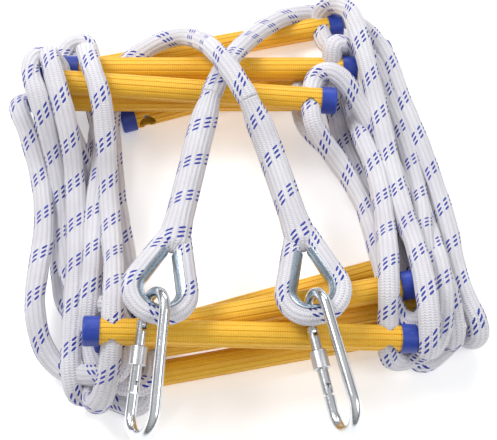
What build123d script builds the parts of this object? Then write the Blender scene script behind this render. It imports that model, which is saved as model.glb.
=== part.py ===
from build123d import *
import os
from math import cos, sin, tan, radians, pi

# Escape rope ladder, folded to a bundle on a flat surface. Millimetres, +Z up, z = 0 is the
# surface. +X runs along the rungs, +Y from the carabiners towards the folded top of the bundle.

# Rungs: fluted resin tubes with a push-on cap at each end
RUNG_LENGTH = 300
TUBE_RADIUS = 12
TUBE_WALL = 2.4
FLUTES = 14
FLUTE_RADIUS = 1.1
CAP_RADIUS = 13.5
CAP_LENGTH = 15
CAP_FLOOR = 2.5
CAP_EDGE = 2.2
HOLE_FROM_END = 26
HOLE_RADIUS = 9

# Side ropes
ROPE_DIAMETER = 16
ROPE_RADIUS = ROPE_DIAMETER / 2
SPLICE_RADIUS = 12.5

# Eyes: the rope runs round a teardrop thimble
BOW_RADIUS = 24  # rope centreline at the bow
LEG_ANGLE = 19.3  # each leg leans in by this much
THROAT = 52.6  # bow centre to the start of the splice
THIMBLE_WALL = 1.8
THIMBLE_CLEARANCE = 0.15
THIMBLE_TIP = 41

# Carabiners: pear-shaped screw-lock hooks of round bar
BAR_RADIUS = 4.9
NARROW_RADIUS = 18.5
WIDE_RADIUS = 21
ARC_SPACING = 84  # from the narrow arc's centre to the wide arc's centre
HINGE_ALONG = 9  # from the narrow arc's tangent point along the gate line
LATCH_ALONG = 64
GATE_RADIUS = 4.8
GATE_BORE = 3.1
TONGUE = 3.6  # thickness of the flattened ends of the hook
SLOT = 4.2
RIVET_RADIUS = 1.6
RIVET_CLEARANCE = 0.05
NUT_RADIUS = 7.6
NUT_LENGTH = 17
NUT_BORE = 5.25
NUT_AT = 36  # middle of the nut along the gate line, unlocked
GATE_FORK = 6
PLUNGER_LENGTH = 4
SPRING_LENGTH = 22

# Moves the whole layout so that the origin is under the middle of the rungs and carabiners
SHIFT = Vector(19.8, -15.2, 0)

# Each rung: centre, turn about Z, drop towards +X, tilt of its rope holes about its own axis
RUNGS = {
    "rung_01": ((19, -74, 13.5), 16.5, 0, 0),
    "rung_02": ((-72, 135, 46), 1.7, 2.7, -16),
    "rung_03": ((25, -127, 13.5), 10.8, 0, 0),
    "rung_04": ((-62, 126, 76), -2.5, 3.4, -12),
    "rung_05": ((7, -104, 61), 10.4, 0, 0),
    "rung_06": ((-45, 222, 13.5), 12.4, 0, -12),
    "rung_07": ((33, -107.5, 36), 9.7, 0, 0),
    "rung_08": ((-38, 167, 54), 2.1, 3.1, 55),
    "rung_09": ((3, -132, 73), 1.0, 6.2, 20),
    "rung_10": ((10, 174, 13.5), 17.2, 0, 0),
}

# Route of each splice, from its eye's throat to the shoulder where the single rope goes on
LEFT_SPLICE = [(-67.7, -58.5, 108), (-61, -18, 100), (-53, 28, 95), (-45, 71, 95), (-36, 106, 100)]
RIGHT_SPLICE = [(48.6, -52.5, 98.5), (38, -16, 97), (25, 28, 99), (12, 65, 107), (0, 89, 117)]

# Route of each side rope, from its splice through the holes of rung 1 to rung 10.
# The two ropes cross above the bundle, so the left eye's rope is the right side of the ladder.
RIGHT_ROPE = [
    (-36, 106, 100), (-27, 132, 101), (-10, 170, 86), (12, 208, 58), (42, 236, 40),
    (86, 254, 33), (122, 236, 35), (144, 200, 38), (157, 150, 32), (171, 108, 27),
    (184, 62, 24), (196, 5, 24), (199, -45, 28), (206, -84, 34), (214, -108, 34),
    (217, -124, 22), (210, -124, 9), (198, -102, 9), (184, -84, 9), (166, -82, 10),
    (150, -77, 12), (144, -60, 13.5), (132, -18, 13.5),
    (133, 0, 16), (136, 34, 26), (137, 72, 12), (130, 106, 9), (114, 138, 10), (90, 156, 14),
    (68, 170, 24), (51, 160, 34), (53, 118, 46),
    (61, 100, 40), (82, 88, 28), (114, 58, 10), (150, 20, 9), (174, -22, 22),
    (186, -62, 42), (190, -104, 46), (192, -122, 34), (188, -134, 16),
    (174, -140, 9), (158, -140, 11), (151, -125, 13.5), (143, -82, 13.5),
    (150, -60, 16), (160, -36, 32), (160, -6, 32), (154, 38, 30), (136, 84, 36), (114, 120, 54),
    (98, 144, 68), (80, 156, 70), (64, 147, 63), (61, 99, 73),
    (68, 82, 66), (94, 58, 40), (114, 20, 36), (120, -20, 50), (125, -60, 61),
    (133, -103, 61), (141, -114, 59), (156, -116, 58), (168, -98, 58), (167, -60, 56),
    (166, -20, 50), (170, 20, 34), (160, 98, 22), (142, 150, 34), (128, 192, 42),
    (108, 214, 38), (90, 214, 26), (81, 228, 18), (72, 265, 10),
    (74, 278, 14), (90, 276, 26), (104, 250, 50), (110, 218, 68), (118, 178, 68),
    (130, 120, 56), (140, 62, 48), (148, 6, 52), (156, -40, 68), (161, -86, 80),
    (162, -124, 78), (163, -144, 60), (162, -134, 40), (159, -108, 35), (151.5, -65, 35),
    (142, -36, 38), (130, 4, 36), (112, 50, 26), (98, 94, 18), (90, 134, 20),
    (86, 159, 29.5), (85.5, 176, 55),
    (86.5, 190, 68), (102, 197, 56), (106, 190, 33), (106, 170, 22), (106, 146, 25), (109, 122, 35),
    (114, 88, 46), (126, 48, 52), (130, 0, 56), (129, -50, 74), (127, -86, 84),
    (127, -109, 67), (126, -148, 53), (128, -162, 42), (140, -163, 26), (160, -150, 24),
    (174, -130, 40), (179, -104, 60), (180, -66, 60), (176, -20, 42), (168, 40, 10),
    (156, 100, 9), (142, 156, 11), (135, 190, 13.5), (126, 219, 13.5),
]

LEFT_ROPE = [
    (0, 89, 117), (-13, 112, 124), (-34, 152, 110), (-48, 190, 72), (-68, 214, 48),
    (-96, 212, 40), (-126, 188, 40), (-140, 158, 38), (-143, 116, 25), (-137, 64, 12),
    (-130, 20, 9), (-120, -30, 9), (-109, -66, 12), (-106, -88, 13.5), (-94, -130, 13.5),
    (-98, -146, 12), (-118, -142, 10), (-137, -122, 9), (-148, -88, 9), (-157, -30, 9),
    (-167, 30, 10), (-180, 80, 36), (-195, 110, 58), (-197, 152, 46),
    (-198, 164, 44), (-200, 173, 55), (-201, 170, 74), (-199, 160, 94), (-193, 138, 109), (-183, 106, 104),
    (-174, 76, 82), (-170, 40, 48), (-165, -28, 43), (-163, -85, 43), (-163, -130, 43),
    (-162, -158, 38), (-157, -174, 22), (-144, -178, 10), (-122, -183, 9), (-101, -186, 11),
    (-93, -172, 13.5), (-101, -129, 13.5),
    (-110, -116, 28), (-120, -104, 40), (-136, -84, 40), (-141, -40, 26), (-146, 10, 25),
    (-158, 52, 36), (-178, 88, 70), (-187, 110, 88), (-186, 141, 81.5),
    (-191, 154, 79), (-207, 158, 75), (-222, 147, 78), (-223, 124, 92), (-207, 98, 96),
    (-192, 68, 62), (-184, 26, 28), (-180, -30, 26), (-166, -70, 24), (-146, -94, 34),
    (-128, -92, 56), (-119, -105, 61), (-111, -148, 61),
    (-116, -163, 58), (-136, -162, 50), (-160, -154, 30), (-178, -145, 24), (-194, -124, 30),
    (-202, -88, 38), (-200, -50, 40), (-197, -10, 40), (-205, 46, 40), (-220, 92, 50),
    (-231, 114, 60), (-234, 132, 48), (-226, 146, 30), (-208, 150, 22), (-188, 150, 20),
    (-168, 155, 21), (-161, 174, 18), (-171, 216, 9),
    (-176, 234, 9), (-196, 232, 9), (-207, 204, 9), (-207, 150, 9), (-202, 90, 9),
    (-190, 30, 9), (-186, -30, 9), (-178, -80, 9), (-156, -94, 14), (-128, -78, 24),
    (-102, -84, 37), (-93, -107, 35), (-85.5, -150, 35),
    (-92, -165, 34), (-112, -168, 36), (-138, -156, 36), (-150, -122, 38), (-148, -94, 51), (-147, -60, 51),
    (-150, 0, 44), (-148, 50, 46), (-146, 90, 42), (-157, 126, 33), (-161, 150, 42.5),
    (-162, 172, 74),
    (-163, 177, 88), (-162, 166, 102), (-155, 140, 109), (-143, 106, 104),
    (-138, 72, 84), (-137, 36, 56), (-132, -16, 48), (-124, -66, 68), (-120, -112, 94),
    (-121, -155, 78),
    (-126, -176, 60), (-134, -188, 44), (-144, -182, 28), (-146, -160, 24), (-144, -124, 25),
    (-140, -70, 14), (-140, -20, 9), (-150, 30, 9), (-158, 80, 9), (-157, 128, 9),
    (-148, 164, 9), (-132, 180, 10), (-119, 174, 12), (-115, 158, 13.5), (-105.5, 128, 13.5),
]

# Each eye: bow centre, direction from the bow centre to the throat, roll about that direction
EYES = {
    "left": ((-77, -107.5, 115.5), (0.185, 0.97, -0.15), 12),
    "right": ((57, -102, 102), (-0.166, 0.985, -0.07), -8),
}

# Each carabiner: direction from its narrow end to its wide end, roll about that direction
HOOKS = {
    "left": ((-0.09, -0.974, -0.208), -34),
    "right": ((0.23, -0.972, -0.05), -20),
}


def rung_planes(name):
    """The rung's own plane (x along it, y along its rope holes) and its cross-section plane."""
    centre, turn, drop, tilt = RUNGS[name]
    along = Vector(1, 0, 0).rotate(Axis.Y, drop).rotate(Axis.Z, turn)
    across = Vector(0, 1, 0).rotate(Axis.Z, turn)
    across = across.rotate(Axis((0, 0, 0), along), tilt)
    centre = SHIFT + centre
    holes = Plane(origin=centre, x_dir=along, z_dir=across)
    section = Plane(origin=centre, x_dir=across, z_dir=along)
    return holes, section


def corner_radii(points):
    """One radius per corner: 0.45 of the shorter run over the tangent of half the turn."""
    radii = []
    for before, here, after in zip(points, points[1:], points[2:]):
        run_in = here - before
        run_out = after - here
        turn = radians(run_in.get_angle(run_out))
        radii.append(0.45 * min(run_in.length, run_out.length) / tan(turn / 2))
    return radii


def finish(part, label):
    part.label = label
    box = part.bounding_box()
    print(label, "from", tuple(round(v, 1) for v in box.min), "to", tuple(round(v, 1) for v in box.max))
    export_step(part, f"parts/{label}.step")


def make_rung(name):
    holes, section = rung_planes(name)
    tube_half = RUNG_LENGTH / 2 - CAP_FLOOR
    hole_x = RUNG_LENGTH / 2 - HOLE_FROM_END

    with BuildPart() as tube:
        with BuildSketch(section):
            Circle(TUBE_RADIUS)
            with PolarLocations(TUBE_RADIUS + 0.2, FLUTES):
                Circle(FLUTE_RADIUS, mode=Mode.SUBTRACT)
            Circle(TUBE_RADIUS - TUBE_WALL, mode=Mode.SUBTRACT)
        extrude(amount=tube_half, both=True)
        with BuildSketch(holes):
            with Locations((-hole_x, 0), (hole_x, 0)):
                Circle(HOLE_RADIUS)
        extrude(amount=2 * TUBE_RADIUS, both=True, mode=Mode.SUBTRACT)
    finish(tube.part, name)

    for side, sign in (("left", -1), ("right", 1)):
        mouth = section.offset(sign * (RUNG_LENGTH / 2 - CAP_LENGTH))
        end = section.offset(sign * RUNG_LENGTH / 2)
        with BuildPart() as cap:
            with BuildSketch(mouth):
                Circle(CAP_RADIUS)
            extrude(amount=sign * CAP_LENGTH)
            rim = cap.edges().filter_by(GeomType.CIRCLE).sort_by(lambda e: (e.center() - end.origin).length)[0]
            fillet(rim, CAP_EDGE)
            with BuildSketch(mouth):
                Circle(TUBE_RADIUS + 0.02)
            extrude(amount=sign * (CAP_LENGTH - CAP_FLOOR), mode=Mode.SUBTRACT)
        finish(cap.part, f"{name}_cap_{side}")


def make_rope(route, label):
    points = [SHIFT + point for point in route]
    radii = corner_radii(points)
    with BuildPart() as rope:
        with BuildLine() as path:
            FilletPolyline(*points, radius=radii)
        with BuildSketch(Plane(origin=path.line @ 0, z_dir=path.line % 0)):
            Circle(ROPE_RADIUS)
        sweep()
    length = path.wire().length
    ratio = rope.part.volume / (pi * ROPE_RADIUS**2 * length)
    print(label, "length", round(length), "volume ratio", round(ratio, 4))
    print("  radii", [round(r) for r in radii])
    finish(rope.part, label)


def eye_plane(side):
    """Origin at the bow's centre, y towards the throat."""
    centre, towards, roll = EYES[side]
    up_y = Vector(*towards).normalized()
    normal = (Vector(0, 0, 1) - up_y * up_y.Z).normalized()
    normal = normal.rotate(Axis((0, 0, 0), up_y), roll)
    return Plane(origin=SHIFT + centre, x_dir=up_y.cross(normal), z_dir=normal)


def eye_points(reach):
    """The teardrop of the rope's centreline: leg end, tangent point, bow, tangent point, leg end."""
    lean = radians(LEG_ANGLE)
    tangent = (BOW_RADIUS * cos(lean), BOW_RADIUS * sin(lean))
    leg = (reach - tangent[1]) / cos(lean)
    tip = (tangent[0] - leg * sin(lean), reach)
    return tip, tangent


def make_eye(side, splice):
    plane = eye_plane(side)
    splice = [SHIFT + point for point in splice]
    tip, tangent = eye_points(THROAT)
    with BuildPart() as eye:
        with BuildLine(plane) as loop:
            Line(tip, tangent)
            ThreePointArc(tangent, (0, -BOW_RADIUS), (-tangent[0], tangent[1]))
            Line((-tangent[0], tangent[1]), (-tip[0], tip[1]))
        with BuildSketch(Plane(origin=loop.line @ 0, z_dir=loop.line % 0)):
            Circle(ROPE_RADIUS)
        sweep()
        with BuildLine() as path:
            FilletPolyline(*splice, radius=corner_radii(splice))
        with BuildSketch(Plane(origin=path.line @ 0, z_dir=path.line % 0)):
            Circle(SPLICE_RADIUS)
        sweep(path=path.wire())
    finish(eye.part, f"eye_splice_{side}")

    tip, tangent = eye_points(THIMBLE_TIP)
    inner = ROPE_RADIUS + THIMBLE_CLEARANCE
    outer = inner + THIMBLE_WALL
    with BuildPart() as thimble:
        with BuildLine(plane) as loop:
            Line(tip, tangent)
            ThreePointArc(tangent, (0, -BOW_RADIUS), (-tangent[0], tangent[1]))
            Line((-tangent[0], tangent[1]), (-tip[0], tip[1]))
        start = loop.line % 0
        inward = plane.z_dir.cross(start)
        if inward.dot(plane.origin - loop.line @ 0) < 0:
            inward = -inward
        with BuildSketch(Plane(origin=loop.line @ 0, x_dir=inward, z_dir=start)):
            Circle(outer)
            Circle(inner, mode=Mode.SUBTRACT)
            with Locations((-outer + 0.35 * outer, 0)):
                Rectangle(2 * outer, 3 * outer, mode=Mode.SUBTRACT)
        sweep()
    finish(thimble.part, f"thimble_{side}")


def hook_plane(side):
    """The carabiner's plane: origin at the narrow arc's centre, -y towards the wide end."""
    direction, roll = HOOKS[side]
    down = Vector(*direction).normalized()
    eye = eye_plane(side)
    bow = eye.origin - eye.y_dir * (BOW_RADIUS - 1)
    normal = (Vector(1, 0, 0) - down * down.X).normalized().rotate(Axis((0, 0, 0), down), roll)
    return Plane(origin=bow, x_dir=(-down).cross(normal), z_dir=normal)


def make_carabiner(side):
    """Drawn in the hook's plane: narrow arc at the origin, wide arc below it, gate on the +x side."""
    plane = hook_plane(side)
    lean = (WIDE_RADIUS - NARROW_RADIUS) / ARC_SPACING
    across = (cos(lean), sin(lean))  # from an arc's centre to the gate line
    down = (sin(lean), -cos(lean))  # along the gate line, from the hinge to the latch

    def on_gate(distance):
        """A point of the gate line, this far from the narrow arc's tangent point."""
        x = NARROW_RADIUS * across[0] + distance * down[0]
        y = NARROW_RADIUS * across[1] + distance * down[1]
        return (x, y)

    def at(x, y):
        return plane.from_local_coords(Vector(x, y, 0))

    straight = ARC_SPACING * cos(lean)
    hinge_at = at(*on_gate(HINGE_ALONG))
    latch_at = at(*on_gate(LATCH_ALONG))
    gate_dir = (latch_at - hinge_at).normalized()
    at_hinge = Plane(origin=hinge_at, x_dir=gate_dir, z_dir=plane.z_dir)
    at_latch = Plane(origin=latch_at, x_dir=gate_dir, z_dir=plane.z_dir)

    with BuildPart() as hook:
        with BuildLine(plane) as bar:
            Line(on_gate(HINGE_ALONG - 5), on_gate(0))
            ThreePointArc(on_gate(0), (0, NARROW_RADIUS), (-on_gate(0)[0], on_gate(0)[1]))
            Line((-on_gate(0)[0], on_gate(0)[1]), (-on_gate(straight)[0], on_gate(straight)[1]))
            ThreePointArc(
                (-on_gate(straight)[0], on_gate(straight)[1]),
                (0, -ARC_SPACING - WIDE_RADIUS),
                on_gate(straight),
            )
            Line(on_gate(straight), on_gate(LATCH_ALONG + 5))
        with BuildSketch(Plane(origin=bar.line @ 0, z_dir=bar.line % 0)):
            Circle(BAR_RADIUS)
        sweep()
        with BuildSketch(at_hinge):
            with Locations((-4, 0)):
                SlotCenterToCenter(8, 7.2)
        extrude(amount=TONGUE / 2, both=True)
        with BuildSketch(at_latch):
            with Locations((2.5, 0)):
                Rectangle(9, 5.6)
        extrude(amount=TONGUE / 2, both=True)
        with BuildSketch(at_hinge):
            Circle(RIVET_RADIUS)
        extrude(amount=TONGUE, both=True, mode=Mode.SUBTRACT)
    finish(hook.part, f"carabiner_{side}_hook")

    base = Plane(origin=hinge_at, x_dir=at_hinge.y_dir, z_dir=gate_dir)
    length = LATCH_ALONG - HINGE_ALONG
    with BuildPart() as gate:
        with BuildSketch(base.offset(-3)):
            Circle(GATE_RADIUS)
        extrude(amount=length + 6)
        with BuildSketch(base.offset(GATE_FORK)):
            Circle(GATE_BORE)
        extrude(amount=length, mode=Mode.SUBTRACT)
        for start in (-3, length - GATE_FORK):
            with BuildSketch(base.offset(start)):
                Rectangle(3 * GATE_RADIUS, SLOT)
            extrude(amount=GATE_FORK + 3, mode=Mode.SUBTRACT)
        with BuildSketch(at_hinge):
            Circle(RIVET_RADIUS)
        extrude(amount=2 * GATE_RADIUS, both=True, mode=Mode.SUBTRACT)
    finish(gate.part, f"carabiner_{side}_gate")

    with BuildPart() as rivet:
        with BuildSketch(at_hinge):
            Circle(RIVET_RADIUS - RIVET_CLEARANCE)
        extrude(amount=GATE_RADIUS, both=True)
    finish(rivet.part, f"carabiner_{side}_rivet")

    nut_end = base.offset(NUT_AT - HINGE_ALONG - NUT_LENGTH / 2)
    with BuildPart() as nut:
        with BuildSketch(nut_end):
            Circle(NUT_RADIUS)
        extrude(amount=NUT_LENGTH)
        chamfer(nut.edges().filter_by(GeomType.CIRCLE), 0.7)
        with BuildSketch(nut_end):
            Circle(NUT_BORE)
        extrude(amount=NUT_LENGTH, mode=Mode.SUBTRACT)
    finish(nut.part, f"carabiner_{side}_nut")

    with BuildPart() as plunger:
        with BuildSketch(base.offset(GATE_FORK + 0.5)):
            Circle(GATE_BORE - 0.1)
        extrude(amount=PLUNGER_LENGTH)
    finish(plunger.part, f"carabiner_{side}_plunger")

    with BuildPart() as spring:
        with BuildLine() as coil:
            start = base.offset(GATE_FORK + PLUNGER_LENGTH + 1.2).origin
            Helix(pitch=1.8, height=SPRING_LENGTH, radius=2.3, center=start, direction=gate_dir)
        with BuildSketch(Plane(origin=coil.line @ 0, z_dir=coil.line % 0)):
            Circle(0.45)
        sweep(is_frenet=True)
    finish(spring.part, f"carabiner_{side}_spring")

    print(side, "hinge", tuple(hinge_at), "hinge axis", tuple(plane.z_dir))
    print(side, "gate direction", tuple(gate_dir), "wide end", tuple(at(0, -ARC_SPACING)))
    print(side, "bow", tuple(plane.origin), "bow axis", tuple(eye_plane(side).x_dir))


os.makedirs("parts", exist_ok=True)
for rung in RUNGS:
    make_rung(rung)
make_rope(LEFT_ROPE, "side_rope_left")
make_rope(RIGHT_ROPE, "side_rope_right")
make_eye("left", LEFT_SPLICE)
make_eye("right", RIGHT_SPLICE)
make_carabiner("left")
make_carabiner("right")
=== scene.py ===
import math

import bpy
import numpy as np
from mathutils import Matrix, Vector


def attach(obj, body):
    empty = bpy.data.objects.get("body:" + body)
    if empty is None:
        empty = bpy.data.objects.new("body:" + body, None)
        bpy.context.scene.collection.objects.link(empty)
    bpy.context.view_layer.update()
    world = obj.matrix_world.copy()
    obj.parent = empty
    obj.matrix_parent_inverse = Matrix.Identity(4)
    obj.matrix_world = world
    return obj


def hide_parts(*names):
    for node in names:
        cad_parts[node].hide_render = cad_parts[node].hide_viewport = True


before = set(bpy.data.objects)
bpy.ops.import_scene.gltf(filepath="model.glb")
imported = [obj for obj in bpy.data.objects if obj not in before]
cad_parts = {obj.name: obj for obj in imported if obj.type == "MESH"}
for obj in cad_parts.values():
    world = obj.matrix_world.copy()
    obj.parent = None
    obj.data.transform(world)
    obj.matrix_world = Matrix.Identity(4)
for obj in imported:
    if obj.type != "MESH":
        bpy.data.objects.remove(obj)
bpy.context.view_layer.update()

SHIFT = np.array((0.0198, -0.0152, 0.0))

# The splices and side ropes, in metres, before SHIFT. They start from the CAD solids' routes.
# The folds at the bundle's ends are moved by up to 28 mm.
LEFT_SPLICE = [
    (-0.0677, -0.0585, 0.108), (-0.061, -0.018, 0.1), (-0.053, 0.028, 0.095),
    (-0.045, 0.071, 0.095), (-0.036, 0.106, 0.1),
]

RIGHT_SPLICE = [
    (0.0486, -0.0525, 0.0985), (0.038, -0.016, 0.097), (0.025, 0.028, 0.099), (0.012, 0.065, 0.107),
    (0.0, 0.089, 0.117),
]

RIGHT_ROPE = [
    (-0.036, 0.106, 0.1), (-0.027, 0.132, 0.101), (-0.01, 0.17, 0.086), (0.012, 0.218, 0.052),
    (0.042, 0.257, 0.026), (0.086, 0.271, 0.011), (0.122, 0.252, 0.018), (0.144, 0.2, 0.038),
    (0.157, 0.15, 0.032), (0.171, 0.108, 0.027), (0.184, 0.062, 0.024), (0.196, 0.005, 0.024),
    (0.199, -0.045, 0.028), (0.206, -0.084, 0.034), (0.214, -0.101, 0.034),
    (0.217, -0.115, 0.022), (0.21, -0.115, 0.009), (0.198, -0.102, 0.009), (0.184, -0.084, 0.009),
    (0.166, -0.082, 0.01), (0.15, -0.077, 0.012), (0.144, -0.06, 0.0135), (0.132, -0.018, 0.0135),
    (0.133, 0.0, 0.016), (0.136, 0.034, 0.026), (0.137, 0.072, 0.012), (0.13, 0.106, 0.009),
    (0.114, 0.138, 0.01), (0.09, 0.156, 0.014), (0.068, 0.17, 0.024), (0.051, 0.16, 0.034),
    (0.053, 0.118, 0.046), (0.061, 0.1, 0.04), (0.082, 0.088, 0.028), (0.114, 0.058, 0.01),
    (0.15, 0.02, 0.009), (0.174, -0.022, 0.022), (0.186, -0.062, 0.042), (0.19, -0.104, 0.046),
    (0.192, -0.122, 0.034), (0.19, -0.119, 0.018), (0.176, -0.13, 0.009), (0.162, -0.138, 0.011),
    (0.1508, -0.1265, 0.0135), (0.143, -0.082, 0.0135), (0.15, -0.06, 0.016), (0.16, -0.036, 0.032),
    (0.16, -0.006, 0.032), (0.154, 0.038, 0.03), (0.136, 0.084, 0.036), (0.114, 0.12, 0.054),
    (0.098, 0.144, 0.068), (0.08, 0.156, 0.07), (0.064, 0.147, 0.063), (0.061, 0.099, 0.073),
    (0.068, 0.082, 0.066), (0.094, 0.058, 0.04), (0.114, 0.02, 0.036), (0.12, -0.02, 0.05),
    (0.125, -0.06, 0.061), (0.133, -0.103, 0.061), (0.141, -0.114, 0.059), (0.156, -0.116, 0.058),
    (0.168, -0.098, 0.058), (0.167, -0.06, 0.056), (0.166, -0.02, 0.05), (0.17, 0.02, 0.034),
    (0.16, 0.098, 0.022), (0.142, 0.15, 0.034), (0.128, 0.192, 0.042), (0.108, 0.214, 0.038),
    (0.09, 0.214, 0.026), (0.081, 0.228, 0.018), (0.076, 0.258, 0.016), (0.082, 0.264, 0.03),
    (0.093, 0.261, 0.041), (0.106, 0.242, 0.056), (0.11, 0.218, 0.068), (0.118, 0.178, 0.068),
    (0.13, 0.12, 0.056), (0.14, 0.062, 0.048), (0.148, 0.006, 0.052), (0.156, -0.04, 0.068),
    (0.161, -0.086, 0.08), (0.162, -0.124, 0.078), (0.163, -0.144, 0.06), (0.162, -0.134, 0.04),
    (0.159, -0.108, 0.035), (0.1515, -0.065, 0.035), (0.142, -0.036, 0.038), (0.13, 0.004, 0.036),
    (0.112, 0.05, 0.026), (0.098, 0.094, 0.018), (0.09, 0.134, 0.02), (0.086, 0.159, 0.0295),
    (0.0855, 0.176, 0.055), (0.0865, 0.19, 0.068), (0.102, 0.197, 0.056), (0.106, 0.19, 0.033),
    (0.106, 0.17, 0.022), (0.106, 0.146, 0.025), (0.109, 0.122, 0.035), (0.114, 0.088, 0.046),
    (0.126, 0.048, 0.052), (0.13, 0.0, 0.056), (0.129, -0.05, 0.074), (0.127, -0.086, 0.084),
    (0.127, -0.109, 0.067), (0.126, -0.134, 0.056), (0.13, -0.143, 0.04), (0.142, -0.14, 0.022),
    (0.16, -0.132, 0.024), (0.174, -0.13, 0.04), (0.179, -0.104, 0.06), (0.18, -0.066, 0.06),
    (0.176, -0.02, 0.042), (0.168, 0.04, 0.01), (0.156, 0.1, 0.009), (0.142, 0.156, 0.011),
    (0.135, 0.19, 0.0135), (0.128, 0.2125, 0.0135),
]

LEFT_ROPE = [
    (0.0, 0.089, 0.117), (-0.013, 0.112, 0.124), (-0.034, 0.152, 0.11), (-0.048, 0.19, 0.072),
    (-0.068, 0.214, 0.048), (-0.096, 0.212, 0.04), (-0.126, 0.188, 0.04), (-0.14, 0.158, 0.038),
    (-0.143, 0.116, 0.025), (-0.137, 0.064, 0.012), (-0.13, 0.02, 0.009), (-0.12, -0.03, 0.009),
    (-0.109, -0.066, 0.012), (-0.106, -0.088, 0.0135), (-0.094, -0.13, 0.0135),
    (-0.098, -0.146, 0.012), (-0.118, -0.142, 0.01), (-0.137, -0.122, 0.009),
    (-0.148, -0.088, 0.009), (-0.157, -0.03, 0.009), (-0.167, 0.03, 0.01), (-0.18, 0.08, 0.036),
    (-0.195, 0.11, 0.058), (-0.197, 0.152, 0.046), (-0.198, 0.164, 0.044), (-0.2, 0.173, 0.055),
    (-0.201, 0.17, 0.074), (-0.199, 0.16, 0.094), (-0.193, 0.138, 0.109), (-0.183, 0.106, 0.104),
    (-0.174, 0.076, 0.082), (-0.17, 0.04, 0.048), (-0.165, -0.028, 0.043),
    (-0.163, -0.085, 0.043), (-0.163, -0.13, 0.043), (-0.162, -0.158, 0.038),
    (-0.157, -0.174, 0.022), (-0.144, -0.168, 0.01), (-0.122, -0.172, 0.009),
    (-0.1045, -0.181, 0.011), (-0.0938, -0.1715, 0.0135), (-0.101, -0.129, 0.0135),
    (-0.11, -0.116, 0.028), (-0.12, -0.104, 0.04), (-0.136, -0.084, 0.04), (-0.141, -0.04, 0.026),
    (-0.146, 0.01, 0.025), (-0.158, 0.052, 0.036), (-0.178, 0.088, 0.07), (-0.187, 0.11, 0.088),
    (-0.186, 0.141, 0.0815), (-0.191, 0.154, 0.079), (-0.2, 0.162, 0.084),
    (-0.212, 0.153, 0.097), (-0.213, 0.127, 0.109), (-0.201, 0.098, 0.102),
    (-0.192, 0.068, 0.062), (-0.184, 0.026, 0.028), (-0.18, -0.03, 0.026), (-0.166, -0.07, 0.024),
    (-0.146, -0.094, 0.034), (-0.128, -0.092, 0.056), (-0.119, -0.105, 0.061),
    (-0.111, -0.148, 0.061), (-0.116, -0.163, 0.058), (-0.136, -0.162, 0.05),
    (-0.16, -0.154, 0.03), (-0.178, -0.145, 0.024), (-0.194, -0.124, 0.03),
    (-0.202, -0.088, 0.038), (-0.2, -0.05, 0.04), (-0.197, -0.01, 0.04), (-0.205, 0.046, 0.04),
    (-0.22, 0.092, 0.05), (-0.231, 0.114, 0.06), (-0.234, 0.132, 0.048), (-0.226, 0.146, 0.03),
    (-0.208, 0.15, 0.022), (-0.188, 0.15, 0.02), (-0.168, 0.155, 0.021), (-0.161, 0.174, 0.018),
    (-0.171, 0.216, 0.009), (-0.176, 0.234, 0.009), (-0.196, 0.232, 0.009),
    (-0.207, 0.204, 0.009), (-0.207, 0.15, 0.009), (-0.202, 0.09, 0.009), (-0.19, 0.03, 0.009),
    (-0.186, -0.03, 0.009), (-0.178, -0.08, 0.009), (-0.156, -0.094, 0.014),
    (-0.128, -0.078, 0.024), (-0.102, -0.084, 0.037), (-0.093, -0.107, 0.035),
    (-0.0855, -0.15, 0.035), (-0.092, -0.165, 0.034), (-0.112, -0.168, 0.036),
    (-0.138, -0.156, 0.036), (-0.15, -0.122, 0.038), (-0.148, -0.094, 0.051),
    (-0.147, -0.06, 0.051), (-0.15, 0.0, 0.044), (-0.148, 0.05, 0.046), (-0.146, 0.09, 0.042),
    (-0.157, 0.126, 0.033), (-0.161, 0.15, 0.0425), (-0.162, 0.167, 0.072),
    (-0.163, 0.17, 0.085), (-0.161, 0.159, 0.098), (-0.154, 0.136, 0.106), (-0.143, 0.106, 0.104),
    (-0.138, 0.072, 0.084), (-0.137, 0.036, 0.056), (-0.132, -0.016, 0.048),
    (-0.124, -0.066, 0.068), (-0.12, -0.112, 0.094), (-0.121, -0.155, 0.078),
    (-0.126, -0.176, 0.06), (-0.134, -0.188, 0.044), (-0.144, -0.182, 0.028),
    (-0.146, -0.16, 0.024), (-0.144, -0.124, 0.025), (-0.14, -0.07, 0.014), (-0.14, -0.02, 0.009),
    (-0.15, 0.03, 0.009), (-0.158, 0.08, 0.009), (-0.157, 0.128, 0.009), (-0.148, 0.164, 0.009),
    (-0.132, 0.18, 0.01), (-0.119, 0.174, 0.012), (-0.115, 0.158, 0.0135),
    (-0.1085, 0.138, 0.0135),
]

# Each eye: bow centre, direction from the bow centre to the throat, roll about that direction
EYES = {
    "left": ((-0.077, -0.1075, 0.1155), (0.185, 0.97, -0.15), 12),
    "right": ((0.057, -0.102, 0.102), (-0.166, 0.985, -0.07), -8),
}
BOW_RADIUS = 0.024
LEG_ANGLE = math.radians(19.3)
THROAT = 0.0526
LEG_OVERLAP = 0.006  # how far the eye's legs run on into the splice

# Half-widths and half-thicknesses, and the distance between rings of vertices
ROPE_WIDE, ROPE_THICK, ROPE_STEP = 0.0101, 0.0075, 0.0022
TAIL_WIDE, TAIL_THICK = 0.0098, 0.0078  # the splice's thin end
BODY_WIDE, BODY_THICK, SPLICE_STEP = 0.0131, 0.0120, 0.0018
EYE_OUTER, EYE_INNER, EYE_THICK, EYE_STEP = 0.0084, 0.0080, 0.0081, 0.0015
EYE_SPREAD = 0.0020  # how much wider the eye is at its sides than at its bow

# The ropes' wide sides lie across this direction
TOWARDS_EYE = np.array((0, -0.45, 0.89))

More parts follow.
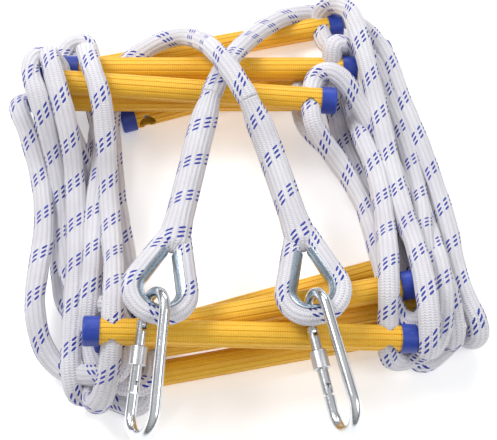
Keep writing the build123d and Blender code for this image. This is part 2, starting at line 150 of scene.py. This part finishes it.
# Turn about Z and drop towards +X of each rung, in degrees
RUNGS = {
    "rung_01": (16.5, 0), "rung_02": (1.7, 2.7), "rung_03": (10.8, 0), "rung_04": (-2.5, 3.4),
    "rung_05": (10.4, 0), "rung_06": (12.4, 0), "rung_07": (9.7, 0), "rung_08": (2.1, 3.1),
    "rung_09": (1.0, 6.2), "rung_10": (17.2, 0),
}


# ---------------------------------------------------------------- lines and tubes

def spline_line(route, step):
    """Evenly spaced points of the route's own NURBS spline."""
    curve = bpy.data.curves.new("route", "CURVE")
    curve.dimensions = "3D"
    curve.resolution_u = 16
    spline = curve.splines.new("NURBS")
    spline.points.add(len(route) - 1)
    for point, place in zip(spline.points, route):
        point.co = (*(SHIFT + np.array(place)), 1)
    spline.order_u = 3
    spline.use_endpoint_u = True
    holder = bpy.data.objects.new("route", curve)
    mesh = bpy.data.meshes.new_from_object(holder)
    points = np.array([v.co for v in mesh.vertices])
    bpy.data.objects.remove(holder)
    bpy.data.curves.remove(curve)
    bpy.data.meshes.remove(mesh)
    return spaced(points, step)


def spaced(points, step):
    reach = distances(points)
    marks = np.linspace(0, reach[-1], max(4, int(round(reach[-1] / step)) + 1))
    return np.stack([np.interp(marks, reach, points[:, i]) for i in range(3)], axis=1)


def unit(v):
    return v / max(float(np.linalg.norm(v)), 1e-9)


def frames(points, flat, firmness):
    """A side direction at each point, which turns slowly so that the rope's wide side lies flat."""
    tangents = np.gradient(points, axis=0)
    tangents /= np.linalg.norm(tangents, axis=1)[:, None]
    side = unit(np.cross(flat, tangents[0]))
    sides = []
    for t in tangents:
        side = unit(side - t * np.dot(side, t))
        wish = np.cross(flat, t)
        if np.dot(wish, side) < 0:
            wish = -wish
        side = unit(side + firmness * wish)
        side = unit(side - t * np.dot(side, t))
        sides.append(side)
    return tangents, np.array(sides)


def distances(points):
    return np.concatenate([[0], np.cumsum(np.linalg.norm(np.diff(points, axis=0), axis=1))])


def skin(name, vertices, along, around, ends=True):
    """A smooth mesh over rings of vertices, with the distance along and round it as its UVs."""
    faces, uvs = [], []
    for i in range(len(along) - 1):
        low, high = i * around, (i + 1) * around
        for k in range(around):
            n = (k + 1) % around
            faces.append((low + k, low + n, high + n, high + k))
            v0, v1 = k / around, (k + 1) / around
            uvs += [(along[i], v0), (along[i], v1), (along[i + 1], v1), (along[i + 1], v0)]
    if ends:
        last = len(along) - 1
        for ring, order in ((0, range(around - 1, -1, -1)), (last, range(around))):
            faces.append(tuple(ring * around + k for k in order))
            uvs += [(along[ring], k / around) for k in order]
    mesh = bpy.data.meshes.new(name)
    mesh.from_pydata([tuple(v) for v in vertices], [], faces)
    layer = mesh.uv_layers.new(name="rope")
    for loop, uv in zip(layer.data, uvs):
        loop.uv = uv
    mesh.polygons.foreach_set("use_smooth", [True] * len(mesh.polygons))
    mesh.update()
    piece = bpy.data.objects.new(name, mesh)
    bpy.context.scene.collection.objects.link(piece)
    return piece


def tube(name, points, section, firmness=0.12, around=24):
    """A rope along points. section gives half-width and half-thickness by distance along it."""
    tangents, sides = frames(points, TOWARDS_EYE, firmness)
    ups = np.cross(tangents, sides)
    along = distances(points)
    vertices = []
    for p, s, u, d in zip(points, sides, ups, along):
        wide, thick = section(d, along[-1])
        for k in range(around):
            a = 2 * math.pi * k / around
            vertices.append(p + s * wide * math.cos(a) + u * thick * math.sin(a))
    return skin(name, vertices, along, around)


# ---------------------------------------------------------------- materials

class Nodes:
    """Short calls for one material's node tree."""

    def __init__(self, name):
        self.material = bpy.data.materials.new(name)
        self.material.use_nodes = True
        self.tree = self.material.node_tree
        self.shader = self.tree.nodes["Principled BSDF"]

    def node(self, kind, **values):
        node = self.tree.nodes.new(kind)
        for key, value in values.items():
            setattr(node, key, value)
        return node

    def join(self, value, socket):
        if isinstance(value, bpy.types.NodeSocket):
            self.tree.links.new(value, socket)
        else:
            socket.default_value = value

    def math(self, operation, a, b=0.0, c=0.0):
        node = self.node("ShaderNodeMath", operation=operation)
        for socket, value in zip(node.inputs, (a, b, c)):
            self.join(value, socket)
        return node.outputs[0]

    def mix(self, factor, a, b):
        node = self.node("ShaderNodeMix", data_type="RGBA")
        self.join(factor, node.inputs[0])
        self.join(a, node.inputs[6])
        self.join(b, node.inputs[7])
        return node.outputs[2]

    def ramp(self, value, low, high, out_low=0.0, out_high=1.0):
        node = self.node("ShaderNodeMapRange")
        for socket, v in zip(node.inputs, (value, low, high, out_low, out_high)):
            self.join(v, socket)
        return node.outputs[0]

    def noise(self, vector, scale, detail=2.0):
        node = self.node("ShaderNodeTexNoise")
        if vector is not None:
            self.join(vector, node.inputs["Vector"])
        node.inputs["Scale"].default_value = scale
        node.inputs["Detail"].default_value = detail
        return node.outputs[0]

    def place(self, rotation=(0, 0, 0), scale=(1, 1, 1)):
        """The point on the object, turned and stretched."""
        coordinates = self.node("ShaderNodeTexCoord")
        mapping = self.node("ShaderNodeMapping")
        mapping.inputs["Rotation"].default_value = rotation
        mapping.inputs["Scale"].default_value = scale
        self.tree.links.new(coordinates.outputs["Object"], mapping.inputs["Vector"])
        return mapping.outputs[0]

    def bump(self, height, distance, strength=1.0):
        node = self.node("ShaderNodeBump")
        node.inputs["Distance"].default_value = distance
        node.inputs["Strength"].default_value = strength
        self.join(height, node.inputs["Height"])
        self.tree.links.new(node.outputs[0], self.shader.inputs["Normal"])

    def set(self, **values):
        for name, value in values.items():
            self.join(value, self.shader.inputs[name.replace("_", " ")])


def rope_material(name, columns, column_mm, plaits, dash, slant):
    """White plaited cover with blue tracer dashes in groups of three along a slow spiral."""
    n = Nodes(name)
    split = n.node("ShaderNodeSeparateXYZ")
    n.join(n.node("ShaderNodeUVMap", uv_map="rope").outputs[0], split.inputs[0])
    along = n.math("MULTIPLY", split.outputs[0], 1000.0)
    around = split.outputs[1]

    # plaits: columns of V stitches that meet in a fine groove
    plait = n.math("MULTIPLY", around, plaits)
    inside = n.math("FRACT", plait)
    fold = n.math("ABSOLUTE", n.math("SUBTRACT", inside, 0.5))
    phase = n.math("ADD", n.math("MULTIPLY", along, 1.45), n.math("MULTIPLY", fold, 3.4))
    stitch = n.math("ABSOLUTE", n.math("SINE", phase))
    rib = n.math("SINE", n.math("MULTIPLY", inside, math.pi))
    height = n.math("ADD", n.math("MULTIPLY", stitch, 0.45), n.math("MULTIPLY", rib, 0.55))

    # tracers
    period, pitch = 42.0, 4.8
    place = n.math("MULTIPLY", around, columns)
    column = n.math("FLOOR", place)
    across = n.math("SUBTRACT", n.math("FRACT", place), 0.5)
    shifted = n.math("SUBTRACT", along, n.math("MULTIPLY", column, period / columns))
    shifted = n.math("SUBTRACT", shifted, n.math("MULTIPLY", across, slant * column_mm))
    wobble = n.math("MULTIPLY", n.math("SUBTRACT", n.noise(n.place(), 260.0), 0.5), 1.1)
    shifted = n.math("ADD", n.math("ADD", shifted, wobble), 42000.0)
    cell = n.math("MODULO", shifted, period)
    group = n.math("LESS_THAN", cell, 3 * pitch)
    within = n.math("SUBTRACT", n.math("MODULO", cell, pitch), pitch / 2)
    high = n.math("POWER", n.math("ABSOLUTE", n.math("DIVIDE", within, dash[1] / 2)), 3.0)
    sideways = n.math("DIVIDE", n.math("MULTIPLY", across, column_mm), dash[0] / 2)
    wide = n.math("POWER", n.math("ABSOLUTE", sideways), 3.0)
    tracer = n.math("MULTIPLY", n.ramp(n.math("ADD", high, wide), 1.35, 0.75), group)

    dirt = n.noise(n.place(), 22.0, 3.0)
    white = n.mix(n.ramp(dirt, 0.35, 0.7), (0.72, 0.70, 0.75, 1), (0.82, 0.81, 0.85, 1))
    # painted shade: the white cover is darkened in the plait grooves, where height is low, as
    # shadow in the grooves
    white = n.mix(n.ramp(height, 0.10, 0.70, 0.40, 0.0), white, (0.40, 0.39, 0.44, 1))
    # painted shade: the blue tracer is darker between the stitches, where stitch is low, as shadow
    # in the grooves
    blue = n.mix(n.ramp(stitch, 0.1, 0.8), (0.012, 0.02, 0.20, 1), (0.03, 0.055, 0.46, 1))
    n.set(Base_Color=n.mix(tracer, white, blue), Roughness=0.82)
    n.shader.inputs["Specular IOR Level"].default_value = 0.25
    n.shader.inputs["Sheen Weight"].default_value = 0.25
    n.shader.inputs["Sheen Roughness"].default_value = 0.5
    n.bump(height, 0.0011, 1.0)
    return n.material


def rung_material(name, turn, drop):
    """Golden resin with lengthwise fibres and a fine cross weave."""
    n = Nodes(name)
    turned = (0, math.radians(-drop), math.radians(-turn))
    fibres = n.noise(n.place(turned, (60, 2200, 2200)), 1.0, 2.0)
    weave = n.node("ShaderNodeTexWave", wave_type="BANDS", bands_direction="X")
    n.join(n.place(turned), weave.inputs["Vector"])
    weave.inputs["Scale"].default_value = 150.0
    weave.inputs["Distortion"].default_value = 1.2
    weave.inputs["Detail"].default_value = 1.0
    patches = n.noise(n.place(turned, (1, 4, 4)), 14.0, 2.0)
    gold = n.mix(n.ramp(patches, 0.3, 0.7), (0.84, 0.44, 0.010, 1), (0.90, 0.52, 0.022, 1))
    gold = n.mix(n.ramp(fibres, 0.35, 0.65, 0.22, 0.0), gold, (0.62, 0.28, 0.006, 1))
    gold = n.mix(n.ramp(weave.outputs[1], 0.1, 0.9, 0.30, 0.0), gold, (0.98, 0.66, 0.10, 1))
    n.set(Base_Color=gold, Roughness=n.ramp(fibres, 0.2, 0.8, 0.34, 0.52))
    n.shader.inputs["Coat Weight"].default_value = 0.15
    n.shader.inputs["Coat Roughness"].default_value = 0.3
    crossing = n.math("MULTIPLY", weave.outputs[1], 0.4)
    height = n.math("ADD", n.math("MULTIPLY", fibres, 0.7), crossing)
    n.bump(height, 0.0005, 0.7)
    return n.material


def cap_material():
    """Royal-blue moulded plastic with a fine grain and paler scuffs."""
    n = Nodes("cap_blue")
    grain = n.noise(n.place(), 900.0, 3.0)
    cloud = n.noise(n.place(), 45.0, 3.0)
    scuff = n.noise(n.place(scale=(1, 3, 1)), 160.0, 4.0)
    blue = n.mix(n.ramp(cloud, 0.3, 0.7), (0.012, 0.035, 0.27, 1), (0.022, 0.06, 0.42, 1))
    blue = n.mix(n.ramp(scuff, 0.62, 0.74, 0.0, 0.35), blue, (0.10, 0.16, 0.55, 1))
    n.set(Base_Color=blue, Roughness=n.ramp(scuff, 0.3, 0.8, 0.32, 0.55))
    n.bump(grain, 0.0002, 0.5)
    return n.material


def metal_material(name, low, high, smooth, rough, streak=0.0, rings=0.0):
    """Zinc-plated steel: clouded colour, fine scratches, and knurled rings where it is gripped."""
    n = Nodes(name)
    cloud = n.noise(n.place(), 60.0, 4.0)
    fine = n.noise(n.place(scale=(1, 6, 1)), 420.0, 3.0)
    n.set(
        Base_Color=n.mix(n.ramp(cloud, 0.3, 0.7), low, high),
        Metallic=1.0,
        Roughness=n.ramp(fine, 0.25, 0.75, smooth, rough),
    )
    height = n.math("MULTIPLY", fine, streak)
    if rings:
        wave = n.node("ShaderNodeTexWave", wave_type="BANDS", bands_direction="Y")
        n.join(n.place(), wave.inputs["Vector"])
        wave.inputs["Scale"].default_value = rings
        height = n.math("ADD", height, n.math("MULTIPLY", wave.outputs[1], 0.5))
    n.bump(height, 0.0003, 0.6)
    return n.material


def dress(node, material):
    node.data.materials.clear()
    node.data.materials.append(material)


# ---------------------------------------------------------------- camera

scene = bpy.context.scene
camera = bpy.data.objects.new("camera", bpy.data.cameras.new("camera"))
scene.collection.objects.link(camera)
camera.location = (0.0198, -0.5146, 1.0201)
aim = Vector((0.0198, -0.0152, 0.040)) - camera.location
camera.rotation_euler = aim.to_track_quat("-Z", "Y").to_euler()
camera.data.lens = 81.94
camera.data.sensor_width = 36
camera.data.clip_start = 0.05
scene.camera = camera


# ---------------------------------------------------------------- ropes

def rope_section(d, total):
    slack = 1 + 0.03 * math.sin(d * 61) + 0.02 * math.sin(d * 173 + 1)
    return ROPE_WIDE * slack, ROPE_THICK / slack


rope_white = rope_material("rope_cover", 8, 6.7, 12, (4.0, 2.5), 0.95)
splice_white = rope_material("splice_cover", 8, 9.8, 18, (5.6, 2.4), 0.6)
ROPES = {"left": (LEFT_ROPE, LEFT_SPLICE, 4.5), "right": (RIGHT_ROPE, RIGHT_SPLICE, 4.2)}


def make_rope(side):
    route, splice, length = ROPES[side]
    points = spline_line(route, ROPE_STEP)
    rope = tube(f"rope_{side}", points, rope_section)
    dress(rope, rope_white)
    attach(rope, "bundle")
    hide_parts(f"side_rope_{side}")


def eye_axes(side):
    centre, towards, roll = EYES[side]
    y = unit(np.array(towards))
    normal = unit(np.array((0, 0, 1.0)) - y * y[2])
    normal = np.array(Matrix.Rotation(math.radians(roll), 3, Vector(y)) @ Vector(normal))
    x = np.cross(y, normal)
    return SHIFT + np.array(centre), x, y, normal


def make_eye(side):
    """The rope's teardrop round the thimble, and the thick splice that it closes with."""
    centre, x, y, normal = eye_axes(side)
    tangent = (BOW_RADIUS * math.cos(LEG_ANGLE), BOW_RADIUS * math.sin(LEG_ANGLE))
    reach = THROAT + LEG_OVERLAP
    leg = (reach - tangent[1]) / math.cos(LEG_ANGLE)
    tip = (tangent[0] - leg * math.sin(LEG_ANGLE), reach)
    flat_points = [(tip[0], tip[1]), tangent]
    sweep = math.pi + 2 * LEG_ANGLE
    for i in range(1, 40):
        a = LEG_ANGLE - sweep * i / 40
        flat_points.append((BOW_RADIUS * math.cos(a), BOW_RADIUS * math.sin(a)))
    flat_points += [(-tangent[0], tangent[1]), (-tip[0], tip[1])]
    line = spaced(np.array([centre + x * px + y * py for px, py in flat_points]), EYE_STEP)

    loop = eye_tube(f"eye_{side}", line, centre, x, normal)
    dress(loop, rope_white)

    route = ROPES[side][1]
    points = spline_line(route, SPLICE_STEP)
    nose = points[0] - y * 0.010
    points = spaced(np.vstack([nose, points]), SPLICE_STEP)

    def splice_section(d, total):
        grow = math.sin(min(1.0, (d + 0.0006) / 0.012) * math.pi / 2)
        shoulder = min(1.0, max(0.0, (total - d) / 0.030))
        shoulder = shoulder * shoulder * (3 - 2 * shoulder)
        neck = max(0.0, 1 - d / 0.040)
        wide = TAIL_WIDE + (BODY_WIDE - TAIL_WIDE) * shoulder + 0.0032 * neck
        thick = TAIL_THICK + (BODY_THICK - TAIL_THICK) * shoulder - 0.0015 * neck
        return wide * grow, thick * grow

    body = tube(f"splice_{side}", points, splice_section, firmness=0.06, around=32)
    dress(body, splice_white)
    for piece in (loop, body):
        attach(piece, "bundle")
    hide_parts(f"eye_splice_{side}")


def eye_tube(name, line, centre, x, normal, around=24):
    """A rope round the eye: fuller on its outer side than in the thimble's groove."""
    tangents = np.gradient(line, axis=0)
    tangents /= np.linalg.norm(tangents, axis=1)[:, None]
    vertices = []
    for p, t in zip(line, tangents):
        out = np.cross(t, normal)
        if np.dot(out, p - centre) < 0:
            out = -out
        outer = EYE_OUTER + EYE_SPREAD * abs(float(np.dot(out, x)))
        for k in range(around):
            a = 2 * math.pi * k / around
            wide = outer if math.cos(a) > 0 else EYE_INNER
            vertices.append(p + out * wide * math.cos(a) + normal * EYE_THICK * math.sin(a))
    return skin(name, vertices, distances(line), around, ends=False)


for side in ("left", "right"):
    make_rope(side)
    make_eye(side)


# ---------------------------------------------------------------- hard pieces

cap_blue = cap_material()
hook_zinc = metal_material(
    "hook_zinc", (0.66, 0.69, 0.73, 1), (0.84, 0.86, 0.88, 1), 0.10, 0.26, 0.3
)
gate_zinc = metal_material(
    "gate_zinc", (0.62, 0.64, 0.67, 1), (0.80, 0.82, 0.84, 1), 0.16, 0.32, 0.3
)
nut_zinc = metal_material(
    "nut_zinc", (0.60, 0.61, 0.63, 1), (0.76, 0.77, 0.79, 1), 0.28, 0.42, 0.3, 260.0
)
thimble_zinc = metal_material(
    "thimble_zinc", (0.42, 0.50, 0.58, 1), (0.62, 0.70, 0.78, 1), 0.20, 0.38, 0.4
)
spring_steel = metal_material(
    "spring_steel", (0.45, 0.45, 0.46, 1), (0.60, 0.60, 0.61, 1), 0.25, 0.40, 0.2
)

for name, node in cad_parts.items():
    if name in RUNGS:
        dress(node, rung_material(f"{name}_gold", *RUNGS[name]))
    elif "_cap_" in name:
        dress(node, cap_blue)
    elif name.startswith("thimble"):
        dress(node, thimble_zinc)
    elif name.endswith(("_spring", "_plunger")):
        dress(node, spring_steel)
    elif name.endswith("_nut"):
        dress(node, nut_zinc)
    elif name.endswith(("_gate", "_rivet")):
        dress(node, gate_zinc)
    elif name.endswith("_hook"):
        dress(node, hook_zinc)
    else:
        dress(node, rope_white)


# ---------------------------------------------------------------- floor and light

floor_mesh = bpy.data.meshes.new("floor")
floor_mesh.from_pydata([(-6, -6, 0), (6, -6, 0), (6, 6, 0), (-6, 6, 0)], [], [(0, 1, 2, 3)])
floor = bpy.data.objects.new("floor", floor_mesh)
scene.collection.objects.link(floor)
paper = Nodes("paper")
tone = paper.noise(paper.place(), 3.0)
paper.set(
    Emission_Color=(1, 1, 1, 1),
    Emission_Strength=0.30,
    Base_Color=paper.mix(tone, (0.93, 0.93, 0.93, 1), (0.96, 0.96, 0.96, 1)),
    Roughness=0.9,
)
dress(floor, paper.material)


def lamp(name, place, size, watts, colour=(1, 1, 1)):
    light = bpy.data.lights.new(name, "AREA")
    light.shape = "RECTANGLE"
    light.size, light.size_y = size
    light.energy = watts
    light.color = colour
    holder = bpy.data.objects.new(name, light)
    scene.collection.objects.link(holder)
    holder.location = place
    aim = Vector((0, 0, 0.04)) - holder.location
    holder.rotation_euler = aim.to_track_quat("-Z", "Y").to_euler()


lamp("key", (-0.9, 0.6, 1.5), (0.8, 0.7), 22)
lamp("fill", (1.2, -0.5, 1.2), (0.9, 0.9), 7, (0.96, 0.98, 1.0))
lamp("back", (0.3, 1.4, 0.9), (1.2, 0.5), 7)

world = bpy.data.worlds.new("world")
world.use_nodes = True
sky = world.node_tree
height = sky.nodes.new("ShaderNodeSeparateXYZ")
shade = sky.nodes.new("ShaderNodeMapRange")
shade.inputs["From Min"].default_value = 0.05
shade.inputs["From Max"].default_value = 0.75
shade.inputs["To Min"].default_value = 0.22
shade.inputs["To Max"].default_value = 0.95
sky.links.new(sky.nodes.new("ShaderNodeTexCoord").outputs["Generated"], height.inputs[0])
sky.links.new(height.outputs["Z"], shade.inputs["Value"])
sky.links.new(shade.outputs[0], sky.nodes["Background"].inputs[0])
sky.nodes["Background"].inputs[1].default_value = 0.62
scene.world = world
scene.view_settings.view_transform = "Standard"
